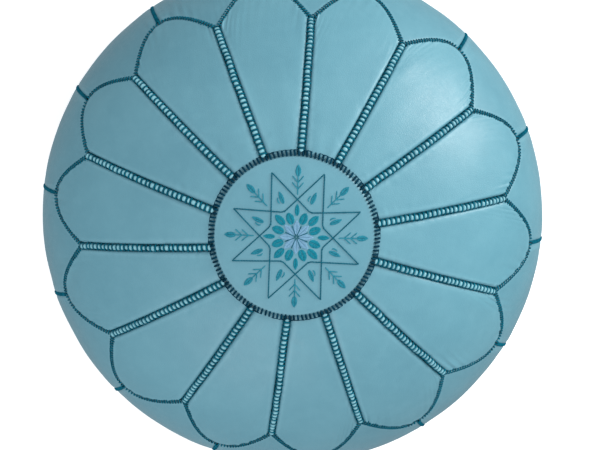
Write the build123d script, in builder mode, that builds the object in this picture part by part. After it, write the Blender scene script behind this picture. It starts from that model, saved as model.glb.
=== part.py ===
"""A round leather pouf in the Moroccan style, in millimetres, standing on its base with +Z up.

The origin is the middle of the base, on the floor. Fourteen petals fan out from an embroidered
medallion and end in scallops over the shoulder. Fourteen side panels rise between the scallops, run
down the side and turn under to a flat ring. Two half-moons close the base, with a zip between them.
A cotton liner holds the stuffing.

Every crown and side surface is an ellipse turned about the axis. A "layer" is the space between two
offsets from the face of the cover: 0 is the leather's outer face, minus LEATHER its inner face, and
thread lies above 0.
"""

import os
from math import copysign, cos, pi, radians, sin, sqrt

from build123d import *

# The cover
RADIUS = 260.0  # at the waist, the widest level
CROWN = 318.0  # height of the petals' face on the axis
WAIST = 145.0
FOOT_RADIUS = 196.0  # outer edge of the flat ring that stands on the floor
PANELS = 14
LEATHER = 2.0
PITCH = 360 / PANELS
HALF_PITCH = PITCH / 2

# Scallops: each petal's outer edge is half a cosine wave, on a plane that leans back from its middle
NODE_RADIUS = 208.0  # where two petals and a side panel meet
PEAK_RADIUS = 239.0  # the furthest point of a petal
SCALLOP_LEAN = 40.0  # angle of the drawing plane's normal above the horizon
SCALLOP_POINTS = 17
SEAM_GAP = 0.5

# Medallion and the seams of the crown
MEDALLION_RADIUS = 77.0
MEDALLION_TOP = 2.1  # offset of the medallion's face
PETAL_INNER_RADIUS = 66.0
LACING_OUTER_RADIUS = 82.5
WELT_WIDTH = 7.8
WELT_CLEARANCE = 0.3
WELT_TOP = 1.5
WELT_START, WELT_END = 83.2, 203.0
WELT_TONGUE = 4.2  # the welt's flat end, which runs on under the scallop's thread
THREAD = 0.8
SIDE_THREAD_WIDTH = 4.0
SCALLOP_THREAD_WIDTH = 5.0

# Base
BASE_SEAM_RADIUS = 173.0
BASE_SEAM_HEIGHT = 2.4
TURN_UP_RADIUS = 180.0  # where the flat ring starts to rise to the base seam
RECESS_RADIUS = 157.0
RECESS_HEIGHT = 10.0  # the middle of the base hangs clear of the floor

# Zip, along X at the middle of the base
ZIP_LEVEL = 12.6  # mid-plane of the tapes
ZIP_LENGTH = 262.4  # toothed length
TOOTH_PITCH = 3.2
TOOTH = (1.5, 3.2, 2.8)
TOOTH_INNER = 0.6  # half the channel that the slider's post runs in
TAPE_INNER, TAPE_OUTER = 2.5, 17.0
TAPE_THICKNESS = 0.6
STOP_X = 135.6
SLOT_HALF_WIDTH = 6.5
SLOT_LENGTH = 296.0
SLIDER_REST_X = 126.0
SLIDER_LENGTH = 16.0
PULL_AXIS_HEIGHT = 8.1
PULL_LENGTH = 28.0
PULL_THICKNESS = 1.5

# Embroidery on the medallion
STAR_POINTS = 8
STAR_TIP, STAR_BEND = 64.0, 26.0
STAR_SPREAD = 6.0  # how far the bends near the Y axis are turned away from it
STITCH_LINE = 1.3
EMBROIDERY = (MEDALLION_TOP + 0.1, MEDALLION_TOP + 0.7)
EMBROIDERY_TURN = 3.0  # the pattern isn't quite in line with the petals

SKY = 400.0  # a height and a reach beyond every part of the pouf
POLE = 1.0  # degrees of the crown's ellipse left flat round the axis


def crown_height(radius):
    """Height of the cover's face at a radius inside the waist."""
    return WAIST + (CROWN - WAIST) * sqrt(1 - (radius / RADIUS) ** 2)


def meridian(azimuth=0.0):
    """The upright plane through the axis, with the radius as its x and the height as its y."""
    turn = radians(azimuth)
    return Plane((0, 0, 0), x_dir=(cos(turn), sin(turn), 0), z_dir=(sin(turn), -cos(turn), 0))


def leaning(azimuth):
    """The plane on which a petal's scallop is drawn. Its y runs up the crown and its x runs round it."""
    turn, lean = radians(azimuth), radians(SCALLOP_LEAN)
    normal = (cos(lean) * cos(turn), cos(lean) * sin(turn), sin(lean))
    return Plane((0, 0, 0), x_dir=(-sin(turn), cos(turn), 0), z_dir=normal)


def up_slope(radius, across=0.0):
    """The y on the leaning plane of a point on the crown, at an angle from the petal's middle."""
    lean = radians(SCALLOP_LEAN)
    return cos(lean) * crown_height(radius) - sin(lean) * radius * cos(radians(across))


def scallop_points(shift=0.0):
    """Points along a scallop from node to node on the leaning plane, moved up the slope by shift."""
    half_width = NODE_RADIUS * sin(radians(HALF_PITCH))
    node = up_slope(NODE_RADIUS, HALF_PITCH)
    depth = node - up_slope(PEAK_RADIUS)
    steps = [2 * i / (SCALLOP_POINTS - 1) - 1 for i in range(SCALLOP_POINTS)]
    return [(half_width * u, node + shift - depth * cos(pi / 2 * u)) for u in steps]


def petal_side(azimuth, shift):
    """Everything on the petal's side of its scallop, on the leaning plane."""
    with BuildSketch(leaning(azimuth)) as region:
        with BuildLine():
            arch = Spline(*scallop_points(shift))
            start, end = arch @ 0, arch @ 1
            Polyline(end, (end.X, SKY), (start.X, SKY), start)
        make_face()
    return region.sketch


def crown_arc(offset):
    """The crown's curve at an offset, from the waist to a small flat at the axis."""
    return EllipticalCenterArc((0, WAIST), RADIUS + offset, CROWN - WAIST + offset, 0, arc_size=90 - POLE)


def crown_layer(inner, outer, azimuth=0.0):
    """The crown's cross-section between two offsets, from the waist to the axis."""
    with BuildSketch(meridian(azimuth)) as layer:
        with BuildLine():
            low = crown_arc(inner)
            high = crown_arc(outer)
            Polyline(low @ 1, (0, (low @ 1).Y), (0, (high @ 1).Y), high @ 1)
            Line(low @ 0, high @ 0)
        make_face()
    return layer.sketch


def side_layer(inner, outer, foot_end, azimuth=0.0):
    """The cross-section between two offsets from the top of the side panels down to the flat ring.

    foot_end gives the outer and inner points where the layer stops, past the flat ring."""
    top = 58.0  # where the panel is cut off, well above its tip, in degrees round the ellipse
    waist_to_foot = RADIUS - FOOT_RADIUS
    with BuildSketch(meridian(azimuth)) as layer:
        with BuildLine():
            upper = EllipticalCenterArc((0, WAIST), RADIUS + outer, CROWN - WAIST + outer, 0, arc_size=top)
            for offset in (inner, outer):
                reach = (waist_to_foot + offset, WAIST + offset)
                EllipticalCenterArc((FOOT_RADIUS, WAIST), *reach, -90, arc_size=90)
            Polyline((FOOT_RADIUS, -outer), *foot_end, (FOOT_RADIUS, -inner))
            lower = EllipticalCenterArc((0, WAIST), RADIUS + inner, CROWN - WAIST + inner, 0, arc_size=top)
            Line(upper @ 1, lower @ 1)
        make_face()
    return layer.sketch


def sector(apex, half_angle):
    """A plan view wedge from a point on X outwards, which trims a piece to its own share of the round."""
    reach = SKY * cos(radians(half_angle)), SKY * sin(radians(half_angle))
    with BuildSketch(Plane.XY) as wedge:
        with BuildLine():
            Polyline((apex, 0), (apex + reach[0], -reach[1]), (apex + reach[0], reach[1]), close=True)
        make_face()
    return wedge.sketch


def strip(start, end, width):
    """A plan view rectangle along X, which cuts a seam's welt or thread out of a layer."""
    with BuildSketch(Plane.XY) as bar:
        with Locations(((start + end) / 2, 0)):
            Rectangle(end - start, width)
    return bar.sketch


def make_petal():
    """One crown panel, centred on X. Parallel cuts leave a channel of even width for the welts."""
    channel = WELT_WIDTH / 2 + WELT_CLEARANCE
    with BuildPart() as petal:
        revolve(crown_layer(-LEATHER, 0, -HALF_PITCH).face(), Axis.Z, PITCH)
        extrude(sector(channel / sin(radians(HALF_PITCH)), HALF_PITCH).face(), SKY, mode=Mode.INTERSECT)
        extrude(petal_side(0, SEAM_GAP).face(), SKY, mode=Mode.INTERSECT)
        with BuildSketch(Plane.XY):
            Circle(PETAL_INNER_RADIUS)
        extrude(amount=SKY, mode=Mode.SUBTRACT)
    return petal.part


def make_side_panel():
    """One side panel, centred on X under the node where two petals meet."""
    turn_up = BASE_SEAM_RADIUS + SEAM_GAP
    foot_end = [
        (TURN_UP_RADIUS, 0),
        (turn_up, BASE_SEAM_HEIGHT),
        (turn_up, BASE_SEAM_HEIGHT + LEATHER),
        (TURN_UP_RADIUS, LEATHER),
    ]
    with BuildPart() as panel:
        revolve(side_layer(-LEATHER, 0, foot_end, -HALF_PITCH).face(), Axis.Z, PITCH)
        extrude(sector(SEAM_GAP / sin(radians(HALF_PITCH)), HALF_PITCH).face(), SKY, mode=Mode.INTERSECT)
        for azimuth in (-HALF_PITCH, HALF_PITCH):
            extrude(petal_side(azimuth, -SEAM_GAP).face(), SKY, mode=Mode.SUBTRACT)
    return panel.part


def make_medallion():
    """The round patch that covers the petals' inner ends."""
    with BuildPart() as medallion:
        revolve(crown_layer(MEDALLION_TOP - LEATHER, MEDALLION_TOP).face(), Axis.Z)
        with BuildSketch(Plane.XY):
            Circle(MEDALLION_RADIUS)
        extrude(amount=SKY, mode=Mode.INTERSECT)
    return medallion.part


def make_medallion_lacing():
    """The thread that binds the medallion's edge: a band outside the edge, with a lip over it."""
    band_top = MEDALLION_TOP + THREAD
    with BuildPart() as lacing:
        revolve(crown_layer(0.1, band_top).face(), Axis.Z)
        with BuildSketch(Plane.XY):
            Circle(LACING_OUTER_RADIUS)
            Circle(MEDALLION_RADIUS - 2, mode=Mode.SUBTRACT)
        extrude(amount=SKY, mode=Mode.INTERSECT)
        with BuildSketch(Plane.XY):
            Circle(MEDALLION_RADIUS + 0.2)
        under_lip = extrude(amount=SKY, mode=Mode.PRIVATE)
        seat = revolve(crown_layer(0, MEDALLION_TOP + 0.1).face(), Axis.Z, mode=Mode.PRIVATE)
        add(seat & under_lip, mode=Mode.SUBTRACT)
    return lacing.part


def make_seam_bar(inner, outer, start, end, width):
    """A bar along one radial seam, in the layer between two offsets, centred on X."""
    with BuildPart() as bar:
        revolve(crown_layer(inner, outer, -HALF_PITCH).face(), Axis.Z, PITCH)
        extrude(strip(start, end, width).face(), SKY, mode=Mode.INTERSECT)
    return bar.part


def make_welt():
    """The raised strip in the channel between two petals."""
    with BuildPart() as welt:
        add(make_seam_bar(-LEATHER, WELT_TOP, WELT_START, WELT_END, WELT_WIDTH))
        add(make_seam_bar(-LEATHER, 0, WELT_START, WELT_END + WELT_TONGUE, WELT_WIDTH))
    return welt.part


def make_wrapping():
    """The thread wound over one welt."""
    face = WELT_TOP + 0.1
    return make_seam_bar(face, face + THREAD, WELT_START + 0.8, WELT_END - 1, WELT_WIDTH + 1.4)


def make_scallop_thread():
    """The overcast thread along one petal's scallop, centred on X."""
    with BuildPart() as thread:
        revolve(crown_layer(0.1, 0.1 + THREAD, -HALF_PITCH).face(), Axis.Z, PITCH)
        extrude(sector(SEAM_GAP / sin(radians(HALF_PITCH)), HALF_PITCH).face(), SKY, mode=Mode.INTERSECT)
        with BuildSketch(leaning(0)) as band:
            with BuildLine():
                arch = Spline(*scallop_points())
                Line(arch @ 0, arch @ 0 - (arch % 0) * SCALLOP_THREAD_WIDTH)
                Line(arch @ 1, arch @ 1 + (arch % 1) * SCALLOP_THREAD_WIDTH)
            trace(line_width=SCALLOP_THREAD_WIDTH)
        extrude(amount=SKY, mode=Mode.INTERSECT)
    return thread.part


def make_side_thread():
    """The thread down one seam between side panels, centred on X below a scallop's peak."""
    lowest, below_scallop = 3.0, crown_height(PEAK_RADIUS) - SCALLOP_THREAD_WIDTH
    foot_end = [(TURN_UP_RADIUS, -0.1 - THREAD), (TURN_UP_RADIUS, -0.1)]
    with BuildPart() as thread:
        revolve(side_layer(0.1, 0.1 + THREAD, foot_end, -HALF_PITCH).face(), Axis.Z, PITCH)
        with BuildSketch(Plane.XY.offset(lowest)):
            with Locations((RADIUS, 0)):
                Rectangle(RADIUS, SIDE_THREAD_WIDTH)
        extrude(amount=below_scallop - lowest, mode=Mode.INTERSECT)
    return thread.part


def make_base_half():
    """The +Y half-moon of the base, dished up in the middle, with half of the zip's slot in its edge."""
    lower = [(0, RECESS_HEIGHT), (RECESS_RADIUS, RECESS_HEIGHT), (BASE_SEAM_RADIUS, BASE_SEAM_HEIGHT)]
    upper = [(r, z + LEATHER) for r, z in reversed(lower)]
    with BuildPart() as half:
        with BuildSketch(meridian()):
            with BuildLine():
                Polyline(*lower, *upper, close=True)
            make_face()
        revolve(axis=Axis.Z, revolution_arc=180)
        with BuildSketch(Plane.XY):
            Rectangle(2 * RADIUS, SEAM_GAP)
            SlotOverall(SLOT_LENGTH, 2 * SLOT_HALF_WIDTH)
        extrude(amount=SKY, mode=Mode.SUBTRACT)
    return half.part


def below(path):
    """The same cross-section points a thread's thickness lower, running back."""
    return [(r, z - THREAD) for r, z in reversed(path)]


def make_base_thread():
    """The thread round the base seam, and the whipping that closes the half-moons past the zip."""
    inner, outer = BASE_SEAM_RADIUS - 3, BASE_SEAM_RADIUS + 2.5
    seam_face = BASE_SEAM_HEIGHT - 0.2
    inner_face = seam_face + 3 * (RECESS_HEIGHT - BASE_SEAM_HEIGHT) / (BASE_SEAM_RADIUS - RECESS_RADIUS)
    outer_face = seam_face - 2.5 * BASE_SEAM_HEIGHT / (TURN_UP_RADIUS - BASE_SEAM_RADIUS)
    path = [(inner, inner_face), (BASE_SEAM_RADIUS, seam_face), (outer, outer_face)]
    whipping = [(SLOT_LENGTH / 2 + 4.2, RECESS_HEIGHT - 0.2), (RECESS_RADIUS, RECESS_HEIGHT - 0.2), path[0]]
    with BuildPart() as thread:
        with BuildSketch(meridian()):
            Polygon(*path, *below(path), align=None)
        revolve(axis=Axis.Z)
        with BuildSketch(meridian()) as bar:
            Polygon(*whipping, *below(whipping), align=None)
            mirror(about=Plane.YZ)
        extrude(bar.sketch, SIDE_THREAD_WIDTH / 2, both=True)
    return thread.part


def make_zip_stitching():
    """The line of lockstitch round the slot that holds both tapes to the leather."""
    with BuildPart() as stitching:
        with BuildSketch(Plane.XY.offset(RECESS_HEIGHT - 0.1)):
            SlotOverall(SLOT_LENGTH + 6.6, 2 * SLOT_HALF_WIDTH + 6.6)
            SlotOverall(SLOT_LENGTH + 4.6, 2 * SLOT_HALF_WIDTH + 4.6, mode=Mode.SUBTRACT)
        extrude(amount=-0.6)
    return stitching.part


def make_zip_tape():
    """The +Y tape, lying on the base half."""
    with BuildPart() as tape:
        with BuildSketch(Plane.XY.offset(ZIP_LEVEL - TAPE_THICKNESS / 2)):
            with Locations((0, (TAPE_INNER + TAPE_OUTER) / 2)):
                Rectangle(SLOT_LENGTH + 8, TAPE_OUTER - TAPE_INNER)
        extrude(amount=TAPE_THICKNESS)
    return tape.part


def make_zip_teeth(stagger):
    """The +Y row of teeth, each one a separate solid clenched on the tape's cord edge."""
    thickness, depth, height = TOOTH
    count = round(ZIP_LENGTH / TOOTH_PITCH)
    on_tape = depth + TOOTH_INNER - TAPE_INNER + 0.2
    with BuildPart() as tooth:
        Box(thickness, depth, height)
        fillet(tooth.edges().filter_by(Axis.X), 0.5)
        with Locations((0, depth / 2, 0)):
            Box(thickness, 2 * on_tape, TAPE_THICKNESS + 0.2, mode=Mode.SUBTRACT)
    with BuildPart() as row:
        with Locations((stagger, TOOTH_INNER + depth / 2, ZIP_LEVEL)):
            with GridLocations(TOOTH_PITCH, 0, count, 1):
                add(tooth.part)
    return row.part


def make_zip_stops():
    """Two top stops where the closed slider halts, and the box that joins the tapes at the other end."""
    with BuildPart() as stops:
        with Locations((STOP_X, 1.6, ZIP_LEVEL), (STOP_X, -1.6, ZIP_LEVEL)):
            Box(2.4, 1.4, 2.8)
        with Locations((-STOP_X, 0, ZIP_LEVEL)):
            Box(2.4, 4.6, 2.8)
        fillet(stops.edges().filter_by(Axis.X), 0.4)
    return stops.part


def slider_outline(level):
    """The slider's plan: square-shouldered where the rows part, narrower where they leave meshed."""
    front, back, half = 6.0, 5.0, SLIDER_LENGTH / 2
    with BuildSketch(Plane.XY.offset(level)) as outline:
        with BuildLine():
            Polyline((half, front), (-half, back), (-half, -back), (half, -front), close=True)
        make_face()
        fillet(outline.vertices(), 2.0)
    return outline.sketch


def make_zip_slider():
    """Two plates joined by a post, with lips that hold the teeth in and a bridge for the pull."""
    plate, lip, channel_height = 1.3, 1.2, TOOTH[2] + 0.6
    lower_face = ZIP_LEVEL - channel_height / 2
    upper_face = ZIP_LEVEL + channel_height / 2
    with BuildPart() as slider:
        extrude(slider_outline(lower_face - plate).face(), plate)
        extrude(slider_outline(upper_face).face(), plate)
        chamfer(slider.faces().sort_by(Axis.Z)[0].edges(), 0.4)
        for face, rise in ((lower_face, lip), (upper_face, -lip)):
            extrude(slider_outline(face).face(), rise)
            with BuildSketch(Plane.XY.offset(face)):
                Rectangle(SLIDER_LENGTH, 2 * (TOOTH_INNER + TOOTH[1] + 0.4))
            extrude(amount=rise, mode=Mode.SUBTRACT)
        with BuildSketch(Plane.XY.offset(lower_face)):
            with Locations((SLIDER_LENGTH / 2 - 3.5, 0)):
                SlotOverall(4.0, 0.8)
        extrude(amount=channel_height)
        with BuildSketch(Plane.XZ.offset(-1.0)):
            bridge_foot = lower_face - plate
            bridge_top = bridge_foot - 3.8
            corners = [(-5, bridge_foot), (-3.6, bridge_top), (3.6, bridge_top), (5, bridge_foot)]
            Polygon(*corners, align=None)
            with Locations((0, bridge_foot - 1.3)):
                Rectangle(5.8, 2.6, mode=Mode.SUBTRACT)
        extrude(amount=2.0)
    return slider.part.moved(Location((SLIDER_REST_X, 0, 0)))


def make_zip_pull():
    """The tab, its crossbar through the slider's bridge, lying back over the closed teeth."""
    bar = PULL_THICKNESS / 2
    with BuildPart() as pull:
        with BuildSketch(Plane.XY.offset(-bar)):
            with Locations((-PULL_LENGTH / 2, 0)):
                RectangleRounded(PULL_LENGTH, 7.2, 1.6)
            with Locations((-3.3, 0)):
                Rectangle(6.8, 3.2, mode=Mode.SUBTRACT)
            with Locations((-PULL_LENGTH + 5, 0)):
                Circle(1.6, mode=Mode.SUBTRACT)
        extrude(amount=PULL_THICKNESS)
        with Locations(Location((0, 0, 0), (90, 0, 0))):
            Cylinder(bar, 7.2)
    return pull.part.moved(Location((SLIDER_REST_X, 0, PULL_AXIS_HEIGHT)))


def on_medallion(sketch):
    """A flat embroidery pattern laid on the medallion's curved face as a thin layer of thread."""
    turned_sketch = sketch.rotate(Axis.Z, EMBROIDERY_TURN)
    with BuildPart() as thread:
        revolve(crown_layer(*EMBROIDERY).face(), Axis.Z)
        extrude(turned_sketch.faces(), SKY, mode=Mode.INTERSECT)
    return thread.part


def leaf(length, width):
    """A pointed leaf along X from the origin, made of two arcs."""
    with BuildSketch() as blade:
        with BuildLine():
            ThreePointArc((0, 0), (length / 2, width / 2), (length, 0))
            ThreePointArc((0, 0), (length / 2, -width / 2), (length, 0))
        make_face()
    return blade.sketch


def polar(radius, angle):
    """A plan view point."""
    return radius * cos(radians(angle)), radius * sin(radians(angle))


def star_bend(middle):
    """Where a strand bends. The star is a little wider than an even one between the bends near the Y axis."""
    near_y_axis = abs(cos(radians(middle))) < 0.5
    shift = copysign(STAR_SPREAD, sin(radians(2 * middle))) if near_y_axis else 0
    return polar(STAR_BEND, middle - shift)


def make_star():
    """Eight crossing strands. Each runs from a tip, bends in past its neighbour and ends two tips on."""
    step = 360 / STAR_POINTS
    with BuildSketch() as star:
        for tip in range(STAR_POINTS):
            start = step * (tip + 0.5)
            with BuildLine():
                Polyline(polar(STAR_TIP, start), star_bend(start + step), polar(STAR_TIP, start + 2 * step))
            trace(line_width=STITCH_LINE)
    return on_medallion(star.sketch)


def make_sprigs():
    """Eight sprigs between the star's points, and a small leaf inside each point."""
    step = 360 / STAR_POINTS
    with BuildSketch() as sprig:
        with Locations((48.5, 0)):
            Rectangle(17, STITCH_LINE)
        with Locations((56, 0)):
            add(leaf(11, 5.2))
        for root in (44.5, 50.5):
            for side in (-1, 1):
                with Locations(Location((root, 0, 0), (0, 0, side * 40))):
                    with Locations((4, 0)):
                        Rectangle(8, 1.1)
    with BuildSketch() as sprigs:
        with PolarLocations(0, STAR_POINTS):
            add(sprig.sketch)
        with PolarLocations(33, STAR_POINTS, start_angle=step / 2):
            add(leaf(12, 4.2))
    return on_medallion(sprigs.sketch)


def make_flower():
    """The eight pale petals in the middle."""
    with BuildSketch() as flower:
        with PolarLocations(2.2, STAR_POINTS):
            add(leaf(13.8, 5.4))
    return on_medallion(flower.sketch)


def make_leaves():
    """The ring of dark leaves round the flower: two beside each quarter's axis, one on it and one between."""
    with BuildSketch() as leaves:
        for side in (-19.5, 19.5):
            with PolarLocations(12.6, 4, start_angle=side):
                add(leaf(11, 6.8))
        with PolarLocations(16.4, 4, start_angle=45):
            add(leaf(11.5, 6.2))
        with PolarLocations(20, 4):
            add(leaf(10.5, 4.2))
    return on_medallion(leaves.sketch)


def bag_profile(offset):
    """The liner's outline at an offset: crown, side, and a bottom that clears the base and the zip."""
    lift = -offset
    waist_to_foot = RADIUS - FOOT_RADIUS
    recess = RECESS_HEIGHT + 4.2 + lift  # clear of the slider's upper plate
    with BuildSketch(meridian()) as outline:
        with BuildLine():
            crown = crown_arc(offset)
            side = (waist_to_foot + offset, WAIST + offset)
            EllipticalCenterArc((FOOT_RADIUS, WAIST), *side, -90, arc_size=90)
            Polyline(
                (FOOT_RADIUS, lift),
                (TURN_UP_RADIUS + 4 - lift / 4, lift),
                (RECESS_RADIUS + 3 - lift / 4, recess),
                (0, recess),
                (0, (crown @ 1).Y),
                crown @ 1,
            )
        make_face()
    return outline.sketch


def make_liner(outside, inside):
    """The closed cotton bag between two offsets."""
    with BuildPart() as liner:
        revolve(bag_profile(outside).face(), Axis.Z)
        revolve(bag_profile(inside).face(), Axis.Z, mode=Mode.SUBTRACT)
    return liner.part


def make_filling(offset):
    """The stuffing, which fills the liner."""
    with BuildPart() as filling:
        revolve(bag_profile(offset).face(), Axis.Z)
    return filling.part


def turned(piece, azimuth):
    """The same piece at another azimuth."""
    with BuildPart() as copy:
        with Locations(Location((0, 0, 0), (0, 0, azimuth))):
            add(piece)
    return copy.part


def all_round(piece, first_azimuth):
    """One node of PANELS separate solids, spaced evenly about the axis."""
    with BuildPart() as ring:
        with PolarLocations(0, PANELS, start_angle=first_azimuth):
            add(piece)
    return ring.part


def mirrored(piece):
    """The piece on the other side of the zip."""
    with BuildPart() as other:
        mirror(piece, Plane.XZ)
    return other.part


def save(piece, name):
    """Writes one node, under its own name."""
    piece.label = name
    export_step(piece, f"parts/{name}.step")


os.makedirs("parts", exist_ok=True)

petal = make_petal()
side_panel = make_side_panel()
for number in range(PANELS):
    save(turned(petal, number * PITCH), f"petal_{number + 1:02d}")
    save(turned(side_panel, (number + 0.5) * PITCH), f"side_panel_{number + 1:02d}")

save(all_round(make_welt(), HALF_PITCH), "radial_welts")
save(all_round(make_wrapping(), HALF_PITCH), "radial_thread")
save(all_round(make_scallop_thread(), 0), "scallop_thread")
save(all_round(make_side_thread(), 0), "side_seam_thread")

save(make_medallion(), "medallion")
save(make_medallion_lacing(), "medallion_lacing")
save(make_star(), "embroidery_star")
save(make_sprigs(), "embroidery_sprigs")
save(make_flower(), "embroidery_flower")
save(make_leaves(), "embroidery_leaves")

base_half = make_base_half()
save(base_half, "base_half_back")
save(mirrored(base_half), "base_half_front")
save(make_base_thread(), "base_thread")
save(make_zip_stitching(), "zip_stitching")

zip_tape = make_zip_tape()
save(zip_tape, "zip_tape_back")
save(mirrored(zip_tape), "zip_tape_front")
save(make_zip_teeth(0), "zip_teeth_back")
save(mirrored(make_zip_teeth(-TOOTH_PITCH / 2)), "zip_teeth_front")
save(make_zip_stops(), "zip_stops")
save(make_zip_slider(), "zip_slider")
save(make_zip_pull(), "zip_pull")

save(make_liner(-LEATHER - 0.3, -LEATHER - 0.8), "inner_liner")
save(make_filling(-LEATHER - 1.0), "filling")
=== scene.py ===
"""The looks of a Moroccan leather pouf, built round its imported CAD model, in metres.

The cover's face is one surface: an ellipse over the crown and another under the waist, turned about Z. A
place on it is a distance s along the meridian from the top, an azimuth, and a lift off the face. Leather,
welts and thread are all laid on that surface.
"""

import math

import bpy
import numpy as np
from mathutils import Matrix, Vector


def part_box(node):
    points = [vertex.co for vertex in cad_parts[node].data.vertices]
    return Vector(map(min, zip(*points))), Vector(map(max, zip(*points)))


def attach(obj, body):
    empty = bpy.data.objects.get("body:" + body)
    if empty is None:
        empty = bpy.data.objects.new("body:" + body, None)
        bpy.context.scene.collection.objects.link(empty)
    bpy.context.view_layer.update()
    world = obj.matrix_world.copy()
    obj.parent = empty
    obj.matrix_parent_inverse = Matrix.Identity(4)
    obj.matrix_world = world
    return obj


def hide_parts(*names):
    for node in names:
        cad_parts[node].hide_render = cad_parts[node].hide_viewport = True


MM = 0.001
RNG = np.random.default_rng(14)

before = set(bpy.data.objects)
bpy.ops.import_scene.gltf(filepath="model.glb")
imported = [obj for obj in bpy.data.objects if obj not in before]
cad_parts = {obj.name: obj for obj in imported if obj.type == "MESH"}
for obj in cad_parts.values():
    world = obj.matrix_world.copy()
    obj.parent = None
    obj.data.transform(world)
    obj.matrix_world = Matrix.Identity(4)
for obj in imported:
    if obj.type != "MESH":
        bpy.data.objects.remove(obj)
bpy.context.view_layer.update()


# ---------------- sizes, from the frame

def radius_and_height(node):
    """Each vertex's distance from the pouf's axis, and its height, for a CAD node."""
    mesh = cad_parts[node].data
    flat = np.empty(3 * len(mesh.vertices))
    mesh.vertices.foreach_get("co", flat)
    x, y, z = flat.reshape(-1, 3).T
    return np.hypot(x, y), z


TOUCHING = 0.01 * MM  # points closer than this count as level
CAD_SEAM_HALF = 0.5 * MM  # from the middle of a seam to the CAD's panels on either side of it
BASE_LAP = 6 * MM  # how far the surface goes on past the base seam
SIDE_R, SIDE_Z = radius_and_height("side_panel_01")
PETAL_R, PETAL_Z = radius_and_height("petal_01")
RADIUS = SIDE_R.max()
WAIST = SIDE_Z[SIDE_R.argmax()]
ON_FLOOR = SIDE_Z < TOUCHING
FOOT_RADIUS = SIDE_R[ON_FLOOR].max()
TURN_UP_RADIUS = SIDE_R[ON_FLOOR].min()
BASE_SEAM_RADIUS = SIDE_R.min()
BASE_SEAM_HEIGHT = SIDE_Z[SIDE_R < BASE_SEAM_RADIUS + TOUCHING].min()
BASE_SLOPE = BASE_SEAM_HEIGHT / (TURN_UP_RADIUS - BASE_SEAM_RADIUS)
HIGHEST = PETAL_Z.argmax()
CROWN = WAIST + (PETAL_Z[HIGHEST] - WAIST) / math.sqrt(1 - (PETAL_R[HIGHEST] / RADIUS) ** 2)
NODE_RADIUS = SIDE_R[SIDE_Z.argmax()] - CAD_SEAM_HALF  # where two scallops and a welt meet
PEAK_RADIUS = PETAL_R.max() + CAD_SEAM_HALF  # the outermost point of a scallop
MEDALLION_RADIUS = radius_and_height("medallion")[0].max()
MEDALLION_LIFT = radius_and_height("medallion")[1].max() - CROWN
LACING_RADIUS = radius_and_height("medallion_lacing")[0].max()
PANELS = sum(name.startswith("petal_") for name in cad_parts)
PITCH = 2 * math.pi / PANELS
BASE_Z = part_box("base_half_back")[1].z - 2 * MM  # the underside of the raised middle of the base
RECESS_RADIUS = 157 * MM  # of the base's raised middle
SCALLOP_LEAN = math.radians(40)  # how far the plane that a scallop is drawn on leans out from upright


# ---------------- the cover's surface

def make_meridian():
    """Points and outward normals down the meridian, with their distance from the top."""
    upper = np.linspace(math.pi / 2, 0, 400)
    lower = np.linspace(0, -math.pi / 2, 300)[1:]
    side = RADIUS - FOOT_RADIUS
    r = [RADIUS * np.cos(upper), FOOT_RADIUS + side * np.cos(lower)]
    z = [WAIST + (CROWN - WAIST) * np.sin(upper), WAIST + WAIST * np.sin(lower)]
    nr = [np.cos(upper) / RADIUS, np.cos(lower) / side]
    nz = [np.sin(upper) / (CROWN - WAIST), np.sin(lower) / WAIST]
    ring = np.linspace(FOOT_RADIUS, TURN_UP_RADIUS, 10)[1:]
    turn = np.linspace(TURN_UP_RADIUS, BASE_SEAM_RADIUS - BASE_LAP, 10)[1:]
    r += [ring, turn]
    z += [0 * ring, (TURN_UP_RADIUS - turn) * BASE_SLOPE]
    nr += [0 * ring, 0 * turn - BASE_SLOPE]
    nz += [0 * ring - 1, 0 * turn - 1]
    r, z, nr, nz = (np.concatenate(part) for part in (r, z, nr, nz))
    length = np.hypot(nr, nz)
    s = np.concatenate([[0], np.cumsum(np.hypot(np.diff(r), np.diff(z)))])
    return s, r, z, nr / length, nz / length


S, R, Z, NR, NZ = make_meridian()
S_WAIST = S[np.argmax(R)]
S_FOOT_ROW = np.argmin(Z)  # where the side first touches the floor
S_FOOT = S[S_FOOT_ROW]
S_BASE_SEAM = S[-1] - BASE_LAP * math.hypot(1, BASE_SLOPE)


def s_of_radius(radius):
    """Distance from the top of a point on the crown at a radius."""
    crown = S <= S_WAIST
    return np.interp(radius, R[crown], S[crown])


def radius_at(s):
    """Distance from the axis of a point at a distance from the top."""
    return np.interp(s, S, R)


def round_axis(r, azimuth, z):
    """Points, from their distance from the axis, azimuth and height."""
    return np.stack(np.broadcast_arrays(r * np.cos(azimuth), r * np.sin(azimuth), z), -1)


# Sewn by hand, the petals aren't quite even. Round these azimuths (middle and reach to either side, in
# degrees) the crown's seams are turned a little (degrees), or the ends of the welts lie further out (mm).
TURNED = ((205, 75, -3.5), (295, 55, -2))
LONGER = ((155, 48, 8), (246, 34, -6), (90, 34, -5), (298, 28, -4))


def bumps(azimuth, table):
    """The sum of a table's smooth bumps at an azimuth."""
    total = 0
    for middle, reach, height in table:
        away = (np.degrees(azimuth) - middle + 180) % 360 - 180
        total = total + height * np.cos(math.pi / 2 * np.clip(away / reach, -1, 1)) ** 2
    return total


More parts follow.
